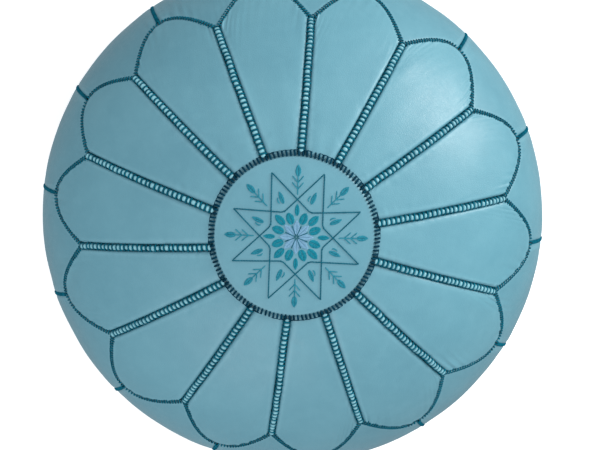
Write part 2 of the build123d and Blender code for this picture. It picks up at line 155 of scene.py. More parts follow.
def handmade(s, azimuth):
    """A place on the cover with the unevenness added. There is none at the medallion or near the floor."""
    start, node = s_of_radius(LACING_RADIUS), s_of_radius(NODE_RADIUS)
    radius = np.maximum(radius_at(s), LACING_RADIUS)
    # Turned this much at each radius, a welt stays straight in plan.
    straight = (1 - LACING_RADIUS / radius) / (1 - LACING_RADIUS / NODE_RADIUS)
    turned = np.where(s < node, straight, np.interp(s, [S_WAIST, S_FOOT - 20 * MM], [1, 0]))
    longer = np.interp(s, [start, node, node + 50 * MM], [0, 1, 0])
    return s + longer * bumps(azimuth, LONGER) * MM, azimuth + turned * np.radians(bumps(azimuth, TURNED))


def place(s, azimuth, lift=0.0):
    """Points in the row frame, shaped like the inputs with a last axis of 3."""
    s, azimuth, lift = np.broadcast_arrays(s, azimuth, lift)
    s, azimuth = handmade(s, azimuth)
    r = radius_at(s) + lift * np.interp(s, S, NR)
    z = np.interp(s, S, Z) + lift * np.interp(s, S, NZ)
    return round_axis(r, azimuth, z)


def outward(s, azimuth):
    """Unit normals of the surface."""
    s, azimuth = np.broadcast_arrays(s, azimuth)
    s, azimuth = handmade(s, azimuth)
    return round_axis(np.interp(s, S, NR), azimuth, np.interp(s, S, NZ))


def up_slope(s, across):
    """Height of a point of the crown on the plane that a scallop is drawn on."""
    outwards = radius_at(s) * np.cos(across)
    return math.cos(SCALLOP_LEAN) * np.interp(s, S, Z) - math.sin(SCALLOP_LEAN) * outwards


def make_scallop():
    """Where the scallop's curve crosses each azimuth of a petal, as (azimuth, s) tables."""
    across = np.linspace(-PITCH / 2, PITCH / 2, 121)
    half_width = NODE_RADIUS * math.sin(PITCH / 2)
    node = up_slope(s_of_radius(NODE_RADIUS), PITCH / 2)
    depth = node - up_slope(s_of_radius(PEAK_RADIUS), 0)
    low = np.full_like(across, s_of_radius(NODE_RADIUS) - 5 * MM)
    high = np.full_like(across, S_WAIST)
    for _ in range(40):  # halving the span each time
        s = (low + high) / 2
        sideways = radius_at(s) * np.sin(across) / half_width
        curve = node - depth * np.cos(math.pi / 2 * np.clip(sideways, -1, 1))
        above = up_slope(s, across) > curve
        low, high = np.where(above, s, low), np.where(above, high, s)
    return across, (low + high) / 2


SCALLOP_AZIMUTH, SCALLOP_S = make_scallop()
S_NODE, S_PEAK = SCALLOP_S[0], SCALLOP_S[len(SCALLOP_S) // 2]
S_RING = s_of_radius(MEDALLION_RADIUS)


def scallop_s(across):
    """s of the scallop seam at an azimuth from the petal's middle."""
    return np.interp(across, SCALLOP_AZIMUTH, SCALLOP_S)


# ---------------- mesh helpers

def grid_faces(rows, columns, closed=False):
    """Quads of a grid of points stored row by row. In a closed grid, each row's end meets its start."""
    i = np.arange(rows - 1)[:, None]
    j = np.arange(columns if closed else columns - 1)
    here, ahead = i * columns + j, i * columns + (j + 1) % columns
    return np.stack([here, ahead, ahead + columns, here + columns], -1).reshape(-1, 4)


def link_new(name, data):
    """A new object in the scene."""
    thing = bpy.data.objects.new(name, data)
    bpy.context.scene.collection.objects.link(thing)
    return thing


def make_mesh(name, points, faces, caps=None):
    """A linked mesh object. caps is an optional array of faces with another number of corners."""
    mesh = bpy.data.meshes.new(name)
    points = np.asarray(points, float).reshape(-1, 3)
    groups = [faces] if caps is None else [faces, caps]
    sizes = np.concatenate([np.full(len(group), group.shape[1]) for group in groups])
    loops = np.concatenate([group.ravel() for group in groups])
    mesh.vertices.add(len(points))
    mesh.vertices.foreach_set("co", points.ravel())
    mesh.loops.add(len(loops))
    mesh.loops.foreach_set("vertex_index", loops.astype(np.int32))
    mesh.polygons.add(len(sizes))
    mesh.polygons.foreach_set("loop_start", np.concatenate([[0], np.cumsum(sizes)[:-1]]).astype(np.int32))
    mesh.update(calc_edges=True)
    mesh.validate()
    mesh.polygons.foreach_set("use_smooth", np.ones(len(mesh.polygons), bool))
    return link_new(name, mesh)


def paint(piece, name, values):
    """Stores one number per vertex for the material to read."""
    attribute = piece.data.attributes.new(name, "FLOAT", "POINT")
    attribute.data.foreach_set("value", np.asarray(values, np.float32).ravel())


def dress(piece, material, node=None):
    """Gives a piece of the cover its material, puts it on the cover's body, and hides the CAD node that it
    stands for, if any.
    """
    piece.data.materials.append(material)
    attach(piece, "cover")
    if node:
        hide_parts(node)


def thicken(piece, thickness):
    """Turns a sheet into a closed skin that grows inwards."""
    solid = piece.modifiers.new("thickness", "SOLIDIFY")
    solid.thickness, solid.offset = thickness, -1


def resample(values, shape):
    """Stretches a grid of values onto another number of rows and columns, with smooth curves between them."""
    for axis in (0, 1):
        values = np.moveaxis(values, axis, 0)
        last = len(values) - 1
        t = np.linspace(0, last, shape[axis])
        i = np.minimum(t.astype(int), max(last - 1, 0))
        f = (t - i).reshape(-1, *[1] * (values.ndim - 1))
        before, after = values[np.maximum(i - 1, 0)], values[np.minimum(i + 2, last)]
        here, ahead = values[i], values[np.minimum(i + 1, last)]
        rise = (ahead - before) / 2
        fall = (after - here) / 2
        values = here + rise * f + (3 * (ahead - here) - 2 * rise - fall) * f**2
        values += (2 * (here - ahead) + rise + fall) * f**3
        values = np.moveaxis(values, 0, axis)
    return values


def smooth_noise(shape, cells, rng):
    """A grid of smooth random values of about unit size, with a number of cells along each axis."""
    return resample(rng.normal(size=(cells[0] + 1, cells[1] + 1)), shape)


# ---------------- thread

TAPER = 0.7  # how thick a thread's ends are, of its full thickness


def thread_piece(name, paths, normals, radius, sides=8, turns=2.0, flat=0.8):
    """Many separate stitches as one mesh. paths and normals are (stitches, points, 3).

    The section is a flattened round that turns along the thread, as two plies do. Each vertex keeps its
    distance along its stitch, and its stitch's random shade, for the material.
    """
    paths, normals = np.asarray(paths, float), np.asarray(normals, float)
    count, steps, _ = paths.shape
    along = np.gradient(paths, axis=1)
    along /= np.linalg.norm(along, axis=-1, keepdims=True) + 1e-12
    side = np.cross(along, normals)
    side /= np.linalg.norm(side, axis=-1, keepdims=True) + 1e-12
    up = np.cross(side, along)
    around = np.linspace(0, 2 * math.pi, sides, endpoint=False)
    twist = 2 * math.pi * turns * np.linspace(0, 1, steps)[:, None]
    size = np.full((steps, 1), float(radius))
    size[[0, -1]] *= TAPER
    reach = size * (1 - (1 - flat) * np.sin(around - twist) ** 2)
    ring = np.cos(around)[:, None] * side[:, :, None] + np.sin(around)[:, None] * up[:, :, None]
    points = paths[:, :, None] + reach[..., None] * ring
    first = (np.arange(count) * steps * sides)[:, None, None]
    quads = (grid_faces(steps, sides, closed=True) + first).reshape(-1, 4)
    ends = np.stack([np.arange(sides)[::-1], (steps - 1) * sides + np.arange(sides)])
    caps = (ends + first).reshape(-1, sides)
    piece = make_mesh(name, points, quads[:, ::-1], caps[:, ::-1])
    length = np.cumsum(np.linalg.norm(np.diff(paths, axis=1, prepend=paths[:, :1]), axis=-1), axis=1)
    paint(piece, "along", np.repeat(length.ravel(), sides))
    paint(piece, "shade", np.repeat(RNG.random(count), steps * sides))
    return piece


def hump(t, power=2.6):
    """The rise of a stitch between its two holes, 1 in the middle and 0 at t = -1 and 1."""
    return 1 - np.abs(t) ** power


def seam_curve(s, azimuth, spacing):
    """Evenly spaced (s, azimuth) places along a curve on the cover, with its unit direction at each."""
    points = place(s, azimuth)
    length = np.concatenate([[0], np.cumsum(np.linalg.norm(np.diff(points, axis=0), axis=1))])
    count = max(2, int(round(length[-1] / spacing)))
    middles = (np.arange(count) + 0.5) * length[-1] / count
    along_s, along_azimuth = np.interp(middles, length, s), np.interp(middles, length, azimuth)
    centre = place(along_s, along_azimuth)
    ahead = place(np.interp(middles + 0.5 * MM, length, s), np.interp(middles + 0.5 * MM, length, azimuth))
    direction = ahead - centre
    direction /= np.linalg.norm(direction, axis=1, keepdims=True)
    return centre, direction, outward(along_s, along_azimuth)


def cross_stitches(centre, direction, normal, half, rise, sink, slant=0.0, steps=9, jitter=0.0):
    """Stitches across a seam: an arc over it that dives into a hole on each side."""
    t = np.linspace(-1, 1, steps)
    across = np.cross(normal, direction)
    wobble = 1 + jitter * RNG.normal(size=(len(centre), 1, 1))
    shift = jitter * 0.35 * half * RNG.normal(size=(len(centre), 1, 1))
    flat = across[:, None] * half * wobble * t[None, :, None]
    flat = flat + direction[:, None] * (slant * half * t[None, :, None] + shift)
    lift = (sink + (rise - sink) * hump(t))[None, :, None] * normal[:, None]
    paths = centre[:, None] + flat + lift
    return paths, np.broadcast_to(normal[:, None], paths.shape)


# ---------------- materials

def srgb(red, green, blue):
    """A linear colour from 0-255 sRGB values."""
    def linear(value):
        value /= 255
        return value / 12.92 if value <= 0.04045 else ((value + 0.055) / 1.055) ** 2.4
    return linear(red), linear(green), linear(blue), 1.0


class Nodes:
    """Short calls for building a material's node tree."""

    def __init__(self, name):
        self.material = bpy.data.materials.new(name)
        self.material.use_nodes = True
        self.tree = self.material.node_tree
        self.shader = self.tree.nodes["Principled BSDF"]

    @classmethod
    def for_tree(cls, tree):
        """The same calls on a tree that already exists."""
        nodes = cls.__new__(cls)
        nodes.tree = tree
        return nodes

    def add(self, kind, inputs=None, **settings):
        node = self.tree.nodes.new(kind)
        for key, value in settings.items():
            setattr(node, key, value)
        for key, value in (inputs or {}).items():
            self.link(value, node.inputs[key])
        return node

    def link(self, value, socket):
        if isinstance(value, bpy.types.NodeSocket):
            self.tree.links.new(value, socket)
        else:
            socket.default_value = value

    def math(self, operation, a, b=0.0):
        return self.add("ShaderNodeMath", {0: a, 1: b}, operation=operation).outputs[0]

    def plus(self, a, b):
        return self.math("ADD", a, b)

    def times(self, a, b):
        return self.math("MULTIPLY", a, b)

    def mix(self, factor, a, b):
        node = self.add("ShaderNodeMix", data_type="RGBA")
        for key, value in ((0, factor), (6, a), (7, b)):
            self.link(value, node.inputs[key])
        return node.outputs[2]

    def noise(self, scale, detail=3.0, roughness=0.55, vector=None):
        inputs = {"Scale": scale, "Detail": detail, "Roughness": roughness}
        if vector is not None:
            inputs["Vector"] = vector
        return self.add("ShaderNodeTexNoise", inputs).outputs["Fac"]

    def spread(self, value, low, high, to_low=0.0, to_high=1.0):
        keys = {"Value": value, "From Min": low, "From Max": high, "To Min": to_low, "To Max": to_high}
        return self.add("ShaderNodeMapRange", keys).outputs[0]

    def attribute(self, name):
        return self.add("ShaderNodeAttribute", attribute_name=name).outputs["Fac"]

    def position(self):
        return self.add("ShaderNodeNewGeometry").outputs["Position"]

    def bump(self, height, strength, distance):
        inputs = {"Height": height, "Strength": strength, "Distance": distance}
        return self.add("ShaderNodeBump", inputs).outputs["Normal"]

    def finish(self, colour, roughness, normal, **extra):
        self.link(colour, self.shader.inputs["Base Color"])
        self.link(roughness, self.shader.inputs["Roughness"])
        self.link(normal, self.shader.inputs["Normal"])
        for key, value in extra.items():
            self.link(value, self.shader.inputs[key.replace("_", " ")])
        return self.material


SEAM_WAX_AND_SHADE = srgb(2, 72, 92)  # dark wax that the seam thread leaves on the leather, with painted shade in the seams


def leather_material(name, base, deep, pale, gloss=0.36, grain=0.5):
    """Glazed goatskin: pebbled, creased, unevenly dyed; darker in seams from wax and painted shade, paler
    where edges rub and from a painted highlight.
    """
    n = Nodes(name)
    base, deep, pale = srgb(*base), srgb(*deep), srgb(*pale)
    spot = n.position()
    cells = n.add("ShaderNodeTexVoronoi", {"Vector": spot, "Scale": 620.0}, feature="DISTANCE_TO_EDGE")
    pebbles = n.spread(cells.outputs["Distance"], 0.0, 0.22)
    creases = n.noise(180.0, 6.0, 0.65, spot)
    pores = n.noise(1600.0, 2.0, 0.5, spot)
    clouds = n.noise(14.0, 5.0, 0.6, spot)
    mottle = n.noise(70.0, 4.0, 0.6, spot)
    colour = n.mix(n.spread(clouds, 0.3, 0.7), deep, base)
    colour = n.mix(n.spread(mottle, 0.45, 0.8, 0.0, 0.2), colour, pale)
    colour = n.mix(n.spread(pebbles, 0.5, 0.0, 0.0, 0.22 * grain), colour, deep)
    # Paler on the rolled edges (rubbed wear and a painted highlight), then darker in the seams (thread wax
    # and painted shade).
    colour = n.mix(n.times(n.attribute("wear_and_highlight"), 0.28), colour, pale)
    colour = n.mix(n.times(n.attribute("seam"), 0.9), colour, SEAM_WAX_AND_SHADE)
    height = n.plus(n.times(pebbles, 0.6), n.times(creases, 0.9))
    height = n.plus(height, n.times(pores, 0.25))
    creased = n.spread(creases, 0.3, 0.7, gloss - 0.05, gloss + 0.10)
    roughness = n.plus(creased, n.spread(clouds, 0.3, 0.7, -0.03, 0.05))
    normal = n.bump(height, grain, 0.25 * MM)
    return n.finish(colour, roughness, normal, Specular_IOR_Level=0.38, Coat_Weight=0.15, Coat_Roughness=0.25)


def thread_material(name, dark, light, ply=1.1 * MM, shine=0.45):
    """Waxed twisted thread: slanting plies, fine fibres and a slightly different dye in each stitch."""
    n = Nodes(name)
    dark, light = srgb(*dark), srgb(*light)
    fibres = n.noise(2600.0, 3.0, 0.6, n.position())
    wave = n.math("SINE", n.times(n.attribute("along"), 2 * math.pi / ply))
    plies = n.plus(n.times(wave, 0.5), 0.5)
    tone = n.plus(n.times(n.attribute("shade"), 0.5), n.times(fibres, 0.5))
    colour = n.mix(n.spread(tone, 0.2, 0.8), dark, light)
    colour = n.mix(n.times(plies, 0.3), colour, light)
    normal = n.bump(n.plus(plies, n.times(fibres, 0.6)), 0.5, 0.15 * MM)
    return n.finish(colour, shine, normal, Specular_IOR_Level=0.05)


def cloth_material(name, pale, deep, pitch):
    """A plain weave with slubs."""
    n = Nodes(name)
    spot = n.position()
    split = n.add("ShaderNodeSeparateXYZ", {"Vector": spot})
    warp, weft = (n.math("SINE", n.times(split.outputs[axis], 2 * math.pi / pitch)) for axis in "XY")
    slub = n.noise(400.0, 3.0, 0.6, spot)
    colour = n.mix(n.spread(slub, 0.3, 0.7), srgb(*pale), srgb(*deep))
    normal = n.bump(n.plus(n.times(warp, weft), slub), 0.5, 0.2 * MM)
    return n.finish(colour, 0.85, normal, Sheen_Weight=0.3)


def brass_material():
    """Dulled brass with a brushed grain and tarnish in its hollows."""
    n = Nodes("dulled_brass")
    spot = n.position()
    stretch = n.add("ShaderNodeMapping", {"Vector": spot, "Scale": (300.0, 4000.0, 4000.0)})
    brushing = n.noise(1.0, 3.0, 0.6, stretch.outputs["Vector"])
    tarnish = n.noise(260.0, 4.0, 0.65, spot)
    colour = n.mix(n.spread(tarnish, 0.35, 0.7), srgb(196, 160, 92), srgb(122, 92, 50))
    roughness = n.plus(n.spread(tarnish, 0.3, 0.7, 0.22, 0.42), n.times(brushing, 0.1))
    return n.finish(colour, roughness, n.bump(brushing, 0.25, 0.05 * MM), Metallic=1.0)


TURQUOISE = leather_material("turquoise_goatskin", (106, 163, 179), (97, 154, 171), (126, 181, 196))
SIDE_TURQUOISE = leather_material("side_goatskin", (103, 159, 175), (93, 149, 166), (123, 177, 192))
WELT_LEATHER = leather_material("welt_goatskin", (120, 190, 204), (84, 150, 168), (176, 226, 234), 0.24, 0.25)
BASE_LEATHER = leather_material("base_goatskin", (96, 148, 162), (80, 130, 146), (122, 170, 182), 0.55)
SEAM_THREAD = thread_material("seam_thread", (0, 78, 98), (4, 108, 130))
LACING_THREAD = thread_material("lacing_thread", (0, 40, 58), (2, 62, 84))
DARK_SILK = thread_material("dark_silk", (14, 88, 108), (28, 110, 130), 0.5 * MM, 0.38)
TEAL_SILK = thread_material("teal_silk", (16, 122, 144), (38, 146, 166), 0.5 * MM, 0.38)
SPRIG_SILK = thread_material("sprig_silk", (30, 122, 144), (56, 148, 168), 0.5 * MM, 0.38)
PALE_SILK = thread_material("pale_silk", (122, 170, 200), (138, 183, 211), 0.5 * MM, 0.38)
COTTON = cloth_material("unbleached_cotton", (226, 220, 204), (206, 198, 180), 0.9 * MM)
WADDING = cloth_material("wadding", (222, 220, 212), (190, 188, 182), 7 * MM)
TAPE = cloth_material("zip_tape_weave", (30, 84, 98), (18, 60, 74), 0.8 * MM)
BRASS = brass_material()


# ---------------- leather panels

GAP = 3.3 * MM  # from a radial seam's middle to the petal's edge, beside the welt
SEAM_HALF = 0.2 * MM  # from the middle of any other seam to the leather's edge
MEDALLION_LAP = 3 * MM  # how far the petals go in under the medallion
EDGE_DEPTH = 2.2 * MM  # how far a turned edge dips into its seam
EDGE_REACH = 5.0 * MM  # how far from the seam the dip starts
TURN_IN = 2.5 * MM  # how far the turned edge goes on down
SHEET = 1.6 * MM  # thickness of the leather
FLOOR_CLEARANCE = 0.2 * MM
SHADE = {  # how strongly, and how far in, thread wax and painted shade darken each edge
    "left": (0.45, 1.2 * MM),
    "right": (0.45, 1.2 * MM),
    "top": (0.7, 1.1 * MM),
    "bottom": (0.7, 1.1 * MM),
}


def graded(count, tightness):
    """Values from 0 to 1 that crowd towards both ends."""
    t = np.linspace(0, 1, count)
    return t - tightness * np.sin(2 * math.pi * t) / (2 * math.pi)


class Panel:
    """A four-sided leather piece as a grid of (s, azimuth), with each point's distance to its sewn edges."""

    def __init__(self, s, azimuth, edges):
        self.s, self.azimuth = s, azimuth
        points = place(s, azimuth)
        down = np.linalg.norm(np.diff(points, axis=0, prepend=points[:1]), axis=-1).cumsum(axis=0)
        over = np.linalg.norm(np.diff(points, axis=1, prepend=points[:, :1]), axis=-1).cumsum(axis=1)
        reach = {"top": down, "bottom": down[-1:] - down, "left": over, "right": over[:, -1:] - over}
        along = {"top": over, "bottom": over, "left": down, "right": down}
        self.down, self.over = down, over
        self.edges = {edge: (reach[edge], along[edge]) for edge in edges}
        self.distance = np.minimum.reduce([reach[edge] for edge in edges])


def petal_panel(rows, columns):
    """The petal centred on azimuth 0."""
    across = 2 * graded(columns, 0.75)[None, :] - 1
    along = graded(rows, 0.6)[:, None]
    start = S_RING - MEDALLION_LAP
    s = start + along * (scallop_s(across * PITCH / 2) - start)
    azimuth = across * (PITCH / 2 - GAP / radius_at(s))
    s = start + along * (scallop_s(azimuth) - SEAM_HALF - start)
    return Panel(s, azimuth, ("left", "right", "bottom"))


def side_panel(rows, columns):
    """The side panel centred on azimuth 0, with two halves of scallops for its upper edge."""
    across = 2 * graded(columns, 0.6)[None, :] - 1
    along = graded(rows, 0.5)[:, None]
    azimuth = across * (PITCH / 2 - SEAM_HALF / RADIUS) + 0 * along
    top = scallop_s(PITCH / 2 - np.abs(azimuth)) + SEAM_HALF
    s = top + along * (S_BASE_SEAM - SEAM_HALF - top)
    return Panel(s, azimuth, ("left", "right", "top", "bottom"))


def edge_dip(distance):
    """The lift of a turned edge: 0 on the panel, a quarter circle down into the seam, then straight in."""
    near = np.clip(1 - distance / EDGE_REACH, 0, 1)
    at_edge = distance < 0.05 * MM
    return -EDGE_DEPTH * (1 - np.sqrt(np.clip(1 - near**2, 0, 1))) - TURN_IN * at_edge


def off_floor(panel):
    """1 on the crown and side, falling to 0 where the panel lies on the floor."""
    return np.clip((S_FOOT - panel.s) / (60 * MM), 0, 1) ** 0.7


# Cloth: each panel is a sheet of leather held by its seams, a little too large, and blown up from inside.
CLOTH_FRAMES = 24
CLOTH_PRESSURE = 4.0
CLOTH_CAP = 9 * MM  # how far a point may rise
SINK_CAP = 1.5 * MM  # how far it may sink
SLIP_CAP = 2 * MM  # how far it may slide along the surface
SLACK = 0.002  # extra length of the leather
GATHER = 0.060  # extra length beside the scallops and the base, where the thread gathers it
GATHER_REACH = 30 * MM
HELD_ABOVE_FLOOR = 4 * MM  # how far up the side the leather is held still


def cloth_weights(panel, rng):
    """Where a panel is held, and where it is gathered."""
    held = np.zeros(panel.s.shape)
    held[[0, -1], :] = 1
    held[:, [0, -1]] = 1
    held[panel.s > S_FOOT - HELD_ABOVE_FLOOR] = 1
    reaches = [panel.edges[edge][0] for edge in ("top", "bottom") if edge in panel.edges]
    gathered = sum(np.exp(-((reach / GATHER_REACH) ** 2)) for reach in reaches)
    return held, np.clip(gathered * (0.75 + 0.3 * smooth_noise(panel.s.shape, (5, 5), rng)), 0, 1)


def swell(panels):
    """Simulates every panel as pressurised cloth. Returns each one's lift, and its slip along the surface."""
    sheets, faces, held, gathered, first = [], [], [], [], 0
    for k, (panel, turn) in enumerate(panels):
        rng = np.random.default_rng(400 + k)
        start = 0.15 * MM * smooth_noise(panel.s.shape, (9, 7), rng)
        pins, pleats = cloth_weights(panel, rng)
        points = place(panel.s, panel.azimuth + turn, start * (1 - pins))
        sheets.append(points.reshape(-1, 3))
        faces.append(grid_faces(*panel.s.shape)[:, ::-1] + first)
        held.append(pins.ravel())
        gathered.append(pleats.ravel())
        first += panel.s.size
    cloth = make_mesh("cloth", np.concatenate(sheets), np.concatenate(faces))
    for name, weights in (("held", np.concatenate(held)), ("gathered", np.concatenate(gathered))):
        group = cloth.vertex_groups.new(name=name)
        for level in np.unique(np.round(weights, 2)):
            if level > 0:
                group.add(np.flatnonzero(np.round(weights, 2) == level).tolist(), float(level), "REPLACE")
    modifier = cloth.modifiers.new("cloth", "CLOTH")
    settings = modifier.settings
    settings.quality = 6
    settings.mass = 0.4
    settings.tension_stiffness = settings.compression_stiffness = 40
    settings.shear_stiffness = 20
    settings.bending_stiffness = 4
    settings.vertex_group_mass = "held"
    settings.vertex_group_shrink = "gathered"
    settings.shrink_min, settings.shrink_max = -SLACK, -GATHER
    settings.use_pressure = True
    settings.uniform_pressure_force = CLOTH_PRESSURE
    settings.effector_weights.gravity = 0
    modifier.collision_settings.use_collision = False
    modifier.point_cache.frame_start, modifier.point_cache.frame_end = 1, CLOTH_FRAMES
    scene = bpy.context.scene
    for number in range(1, CLOTH_FRAMES + 1):
        scene.frame_set(number)
    result = cloth.evaluated_get(bpy.context.evaluated_depsgraph_get()).to_mesh()
    moved = np.empty(3 * first)
    result.vertices.foreach_get("co", moved)
    moved = moved.reshape(-1, 3)
    scene.frame_set(1)
    bpy.data.objects.remove(cloth)
    out, first = [], 0
    for panel, turn in panels:
        after = moved[first:first + panel.s.size].reshape(*panel.s.shape, 3)
        first += panel.s.size
        shift = after - place(panel.s, panel.azimuth + turn)
        normal = outward(panel.s, panel.azimuth + turn)
        lift = (shift * normal).sum(-1)
        slip = shift - lift[..., None] * normal
        out.append((np.clip(lift, -SINK_CAP, CLOTH_CAP), np.clip(slip, -SLIP_CAP, SLIP_CAP)))
    return out


def puckers(panel, rng):
    """Small folds that run in from the seams, where each few stitches pull the leather."""
    lift = np.zeros_like(panel.s)
    for edge, (distance, along) in panel.edges.items():
        sewn_across = edge in ("top", "bottom")
        pitch, reach, height = (11 * MM, 18 * MM, 0.45 * MM) if sewn_across else (9 * MM, 7 * MM, 0.22 * MM)
        bend = 0.35 * smooth_noise(panel.s.shape, (4, 4), rng)
        wave = np.sin(2 * math.pi * (along / pitch + bend) + rng.uniform(0, 6))
        wave += 0.5 * np.sin(2 * math.pi * (along / (0.55 * pitch) + bend) + rng.uniform(0, 6))
        strength = np.clip(0.6 + 0.7 * smooth_noise(panel.s.shape, (7, 9), rng), 0, 2)
        fade = np.exp(-distance / reach) * np.clip(distance / (2 * MM), 0, 1)
        lift += height * wave * strength * fade
    return lift


def leather_panel(name, panel, turn, lift, slip, material, node):
    """One leather piece, turned to its place round the pouf."""
    points = place(panel.s, panel.azimuth + turn, lift) + slip
    points[..., 2] = np.maximum(points[..., 2], FLOOR_CLEARANCE)
    piece = make_mesh(name, points, grid_faces(*panel.s.shape)[:, ::-1])
    # Thread wax and painted shade along each sewn edge, and a pale band of rubbed wear and painted highlight
    # on the rolled shoulder beside it.
    shade = 0
    for edge, (distance, _) in panel.edges.items():
        strength, reach = SHADE[edge]
        shade = shade + strength * np.exp(-((distance / reach) ** 1.5))
    paint(piece, "seam", np.clip(shade, 0, 1))
    paint(piece, "wear_and_highlight", np.exp(-(((panel.distance - 4.5 * MM) / (2.5 * MM)) ** 2)))
    thicken(piece, SHEET)
    dress(piece, material, node)


def build_leather():
    """The petals and the side panels."""
    kinds = (
        ("petal_leather_", "petal_", "crown_leather", TURQUOISE),
        ("side_leather_", "side_panel_", "side_leather", SIDE_TURQUOISE),
    )
    fine = [petal_panel(96, 64)] * PANELS + [side_panel(110, 64)] * PANELS
    turns = [k * PITCH for k in range(PANELS)] + [(k + 0.5) * PITCH for k in range(PANELS)]
    coarse = [petal_panel(38, 24)] * PANELS + [side_panel(44, 24)] * PANELS
    shapes = swell(list(zip(coarse, turns)))
    for k, (panel, turn, (lift, slip)) in enumerate(zip(fine, turns, shapes)):
        rng = np.random.default_rng(100 + k)
        lift, slip = resample(lift, panel.s.shape), resample(slip, panel.s.shape)
        slip = slip * np.clip(panel.distance / (8 * MM), 0, 1)[..., None]
        inside = np.clip(panel.distance / (14 * MM), 0, 1) * off_floor(panel)
        lift = lift + 0.15 * MM * smooth_noise(panel.s.shape, (7, 5), rng) * inside
        lift = lift + edge_dip(panel.distance) + puckers(panel, rng) * off_floor(panel)
        name, node, slot, material = kinds[k // PANELS]
        number = f"{k % PANELS + 1:02d}"
        leather_panel(name + number, panel, turn, lift, slip, material, node + number)


# ---------------- welts and seams

WRAP_SPACING = 4.5 * MM
WRAP_RADIUS = 0.84 * MM  # half the thread's thickness
WRAP_HALF = 3.7 * MM  # from a radial seam's middle to the hole that a wrap dives into
WRAP_LIFT = 0.42  # of the welt's rise
HOLE_DEPTH = 1.5 * MM  # how deep the end of a wrap goes
WELT_HALF = 2.9 * MM
WELT_RISE = 2.6 * MM
WELT_FLANGE = 2.6 * MM  # a welt's flat edge, caught under the petal
WELT_LAP = 4 * MM  # how far a welt goes in under the medallion
SLOT_HALF = 0.8 * MM  # half of the bare slot between two ribs of a welt, where the thread lies
CORD_OFFSET = 3.0 * MM  # from a radial seam's middle to the thread along each of its edges
CORD_LIFT = -1.2 * MM
CORD_RADIUS = 0.4 * MM
SCALLOP_SPACING = 3.3 * MM
SIDE_SPACING = 3.0 * MM
STITCH_RADIUS = 0.74 * MM
STITCH_SINK = -1.7 * MM  # the lift of a stitch where it goes through the leather


def wrap_places():
    """The s of each thread wrap along a radial seam, if they were even."""
    start, end = s_of_radius(LACING_RADIUS) + 0.4 * MM, S_NODE - 3 * MM
    return np.linspace(start, end, int(round((end - start) / WRAP_SPACING)))


def welt_strip(s, azimuth, wraps, pitch, wobble, rng):
    """A padded strip, squeezed into ribs by its wraps. Returns its points, and 0 to 1 up each rib."""
    around = np.linspace(0, math.pi, 13)
    across = np.concatenate([around[:1], around, around[-1:]])
    flange = np.zeros((1, len(across)))
    flange[0, 0], flange[0, -1] = 1, -1
    slots = np.concatenate([[wraps[0] - pitch], wraps, [wraps[-1] + pitch]])
    after = np.clip(np.searchsorted(slots, s), 1, len(slots) - 1)
    middle, half = (slots[after] + slots[after - 1]) / 2, (slots[after] - slots[after - 1]) / 2
    rib = np.sqrt(np.clip(1 - ((s - middle) / (half - SLOT_HALF)) ** 2, 0, 1))
    fullness = np.clip(1 + 0.12 * smooth_noise((len(s), 1), (40, 1), rng)[:, 0], 0.7, 1.25)
    width = WELT_HALF * (0.82 + 0.18 * rib) * fullness**0.5
    sideways = np.cos(across) * width[:, None] + wobble[:, None] + WELT_FLANGE * flange
    height = (WELT_RISE * (0.25 + 0.75 * rib) * fullness)[:, None]
    lift = np.sin(across) ** 0.75 * height - 1.8 * MM * np.abs(np.cos(across)) ** 5
    lift = lift - 1.2 * MM * np.abs(flange)
    turn = azimuth + sideways / radius_at(s)[:, None]
    return place(s[:, None], turn, lift), np.sin(across) ** 2 * rib[:, None]


def welt_wraps(azimuth, wraps, shift, rng):
    """The thread over one welt, as (s, azimuth, lift). Each wrap leans a little and ends in two holes."""
    t = np.linspace(-1, 1, 11)
    half = WRAP_HALF * (1 + 0.04 * rng.normal(size=(len(wraps), 1)))
    lean = (0.7 + 0.4 * rng.normal(size=(len(wraps), 1))) * MM
    s = wraps[:, None] + lean * t
    lift = -HOLE_DEPTH + (HOLE_DEPTH + WRAP_LIFT * WELT_RISE) * hump(t, 3.2)
    return s, azimuth + (half * t + shift[:, None]) / radius_at(s), lift


